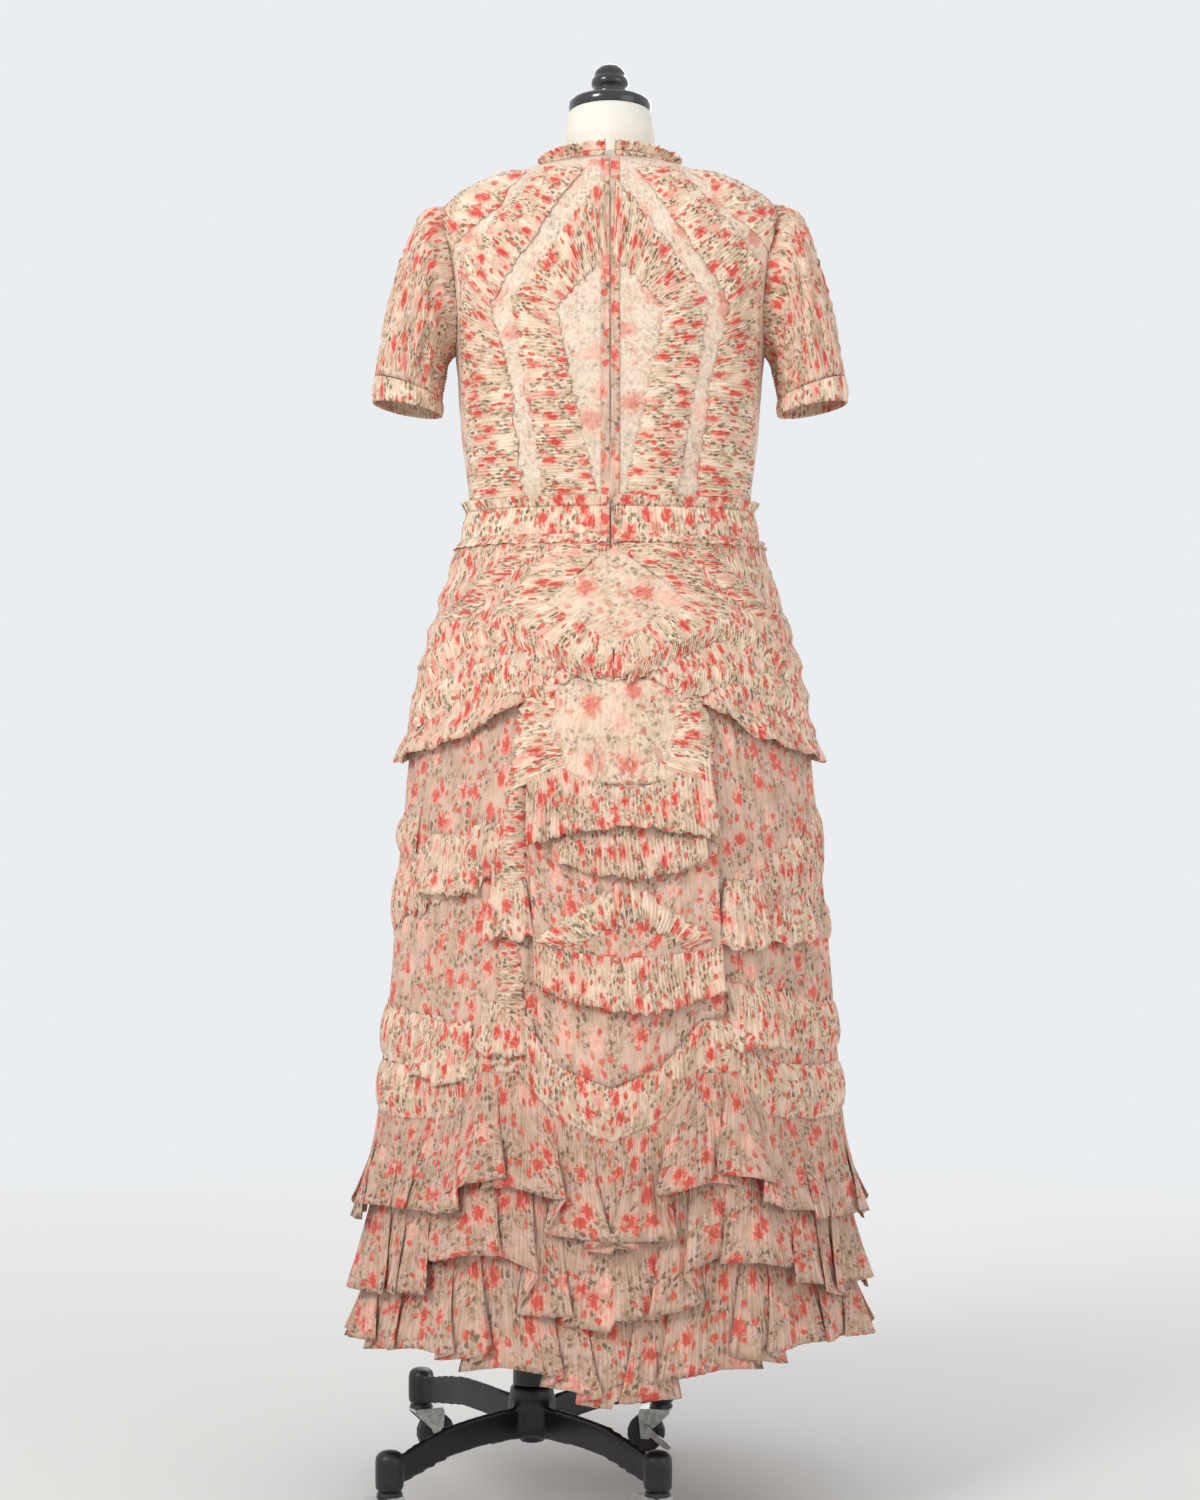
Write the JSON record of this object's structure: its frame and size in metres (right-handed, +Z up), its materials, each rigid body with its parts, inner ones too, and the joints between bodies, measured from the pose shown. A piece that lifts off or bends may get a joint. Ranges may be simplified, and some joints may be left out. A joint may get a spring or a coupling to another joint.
{
  "type": "midi dress on a limbless dress form",
  "caption": "Short-sleeved midi dress of ruched floral net with pointed flounce tiers and a back zip, worn by a limbless dress form on a low caster stand.",
  "frame": {"origin": "on the floor under the centre of the hem's box", "axes": "+Z up, +Y towards the dress's front, +X to the right seen from its back"},
  "size_m": [0.522, 0.5228, 1.438],
  "materials": {
    "net": "printed floral net, matt",
    "ruched": "printed floral net, gathered into fine folds, matt",
    "zip": "cream woven tape and thread",
    "canvas": "natural canvas over a stiff shell",
    "black": "black satin paint",
    "iron": "black powder coat",
    "wood": "plain plywood",
    "zinc": "bright zinc plate",
    "rubber": "black rubber"
  },
  "bodies": {
    "base": {"base_casting": "iron", "pole_outer": "black"},
    "form": {"inner_band_left": "ruched", "inner_band_right": "ruched", "outer_band_left": "ruched", "outer_band_right": "ruched", "sleeve_left": "ruched", "sleeve_right": "ruched", "cuff_left": "ruched", "cuff_right": "ruched", "neckband": "ruched", "waistband": "ruched", "hip_basque": "ruched", "ruffle_a": "ruched", "ruffle_b": "ruched", "lattice_left": "ruched", "lattice_right": "ruched", "slant_left": "ruched", "slant_right": "ruched", "pointed_band": "ruched", "bodice_back_left": "net", "bodice_back_right": "net", "bodice_front": "net", "neck_frill": "net", "waist_frill_top": "net", "waist_frill_low": "net", "skirt_back": "net", "skirt_front": "net", "back_panel": "net", "tier_1": "net", "tier_2": "net", "tier_3_hem": "net", "zip": "zip", "neck_hook": "zip", "neck_loop": "zip", "torso": "canvas", "neck_cap": "black", "finial": "black", "pole_inner": "black", "base_board": "wood"},
    "caster_rear_left": {"fork_rear_left": "zinc", "bearing_cap_rear_left": "black"},
    "roller_rear_left": {"wheel_rear_left": "rubber"},
    "caster_rear_right": {"fork_rear_right": "zinc", "bearing_cap_rear_right": "black"},
    "roller_rear_right": {"wheel_rear_right": "rubber"},
    "caster_front_left": {"fork_front_left": "zinc", "bearing_cap_front_left": "black"},
    "roller_front_left": {"wheel_front_left": "rubber"},
    "caster_front_right": {"fork_front_right": "zinc", "bearing_cap_front_right": "black"},
    "roller_front_right": {"wheel_front_right": "rubber"},
    "brake": {"brake_lever": "zinc"}
  },
  "joints": [
    {"name": "height_slide", "type": "slide", "parent": "base", "child": "form", "axis": [0, 0, 1], "range_m": [0, 0.15]},
    {"name": "swivel_rear_left", "type": "hinge", "parent": "base", "child": "caster_rear_left", "pos_m": [-0.207, -0.171, 0.06], "axis": [0, 0, 1], "continuous": true},
    {"name": "roll_rear_left", "type": "hinge", "parent": "caster_rear_left", "child": "roller_rear_left", "pos_m": [-0.22011, -0.18018, 0.0195], "axis": [0.5736, -0.8192, 0], "continuous": true},
    {"name": "swivel_rear_right", "type": "hinge", "parent": "base", "child": "caster_rear_right", "pos_m": [0.044, -0.171, 0.06], "axis": [0, 0, 1], "continuous": true},
    {"name": "roll_rear_right", "type": "hinge", "parent": "caster_rear_right", "child": "roller_rear_right", "pos_m": [0.03372, -0.15874, 0.0195], "axis": [-0.766, -0.6428, 0], "continuous": true},
    {"name": "swivel_front_left", "type": "hinge", "parent": "base", "child": "caster_front_left", "pos_m": [-0.2, 0.17, 0.06], "axis": [0, 0, 1], "continuous": true},
    {"name": "roll_front_left", "type": "hinge", "parent": "caster_front_left", "child": "roller_front_left", "pos_m": [-0.1855, 0.17676, 0.0195], "axis": [-0.4226, 0.9063, 0], "continuous": true},
    {"name": "swivel_front_right", "type": "hinge", "parent": "base", "child": "caster_front_right", "pos_m": [0.055, 0.17, 0.06], "axis": [0, 0, 1], "continuous": true},
    {"name": "roll_front_right", "type": "hinge", "parent": "caster_front_right", "child": "roller_front_right", "pos_m": [0.03924, 0.17278, 0.0195], "axis": [-0.1736, -0.9848, 0], "continuous": true},
    {"name": "brake_lift", "type": "hinge", "parent": "caster_front_right", "child": "brake", "pos_m": [0.03692, 0.15958, 0.027], "axis": [-0.1736, -0.9848, 0], "range_deg": [0, 28]}
  ]
}
